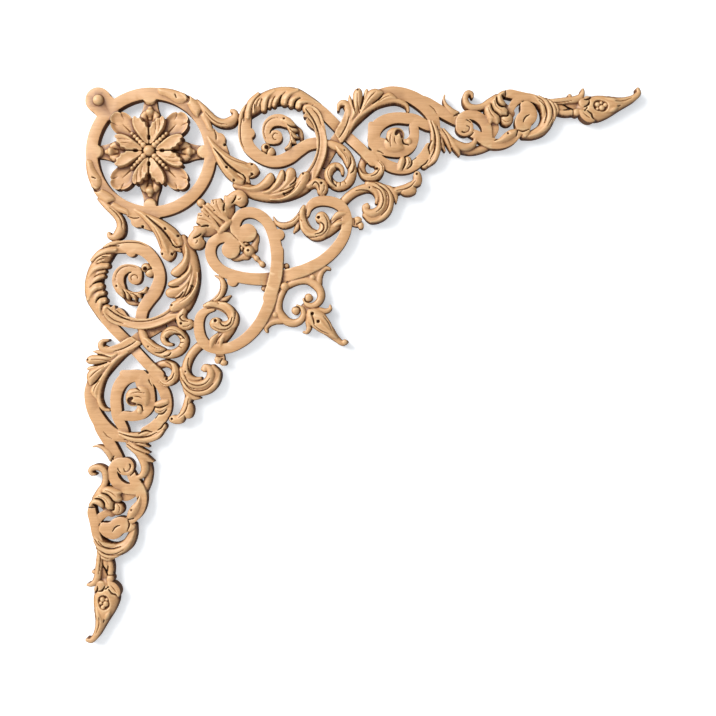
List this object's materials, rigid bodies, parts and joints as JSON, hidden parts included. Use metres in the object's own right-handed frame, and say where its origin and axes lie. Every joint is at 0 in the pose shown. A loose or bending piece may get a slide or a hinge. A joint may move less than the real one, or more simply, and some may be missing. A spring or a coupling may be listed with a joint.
{
  "type": "carved corner applique",
  "caption": "Flat-backed openwork wood corner onlay: rosette in a ring, with leafy scrolls running out along both arms and a heart on the diagonal.",
  "frame": {"origin": "centre of the small round boss at the outer corner, on the flat back", "axes": "+X along the upper arm, -Z down the other arm, -Y out of the wall towards the viewer; the back lies on y = 0 and faces +Y"},
  "size_m": [0.5569, 0.0196, 0.5569],
  "materials": {
    "wood": "unfinished light beech, sanded, with fine grain along the upper arm"
  },
  "bodies": {
    "root": {"corner_applique": "wood"}
  },
  "joints": []
}
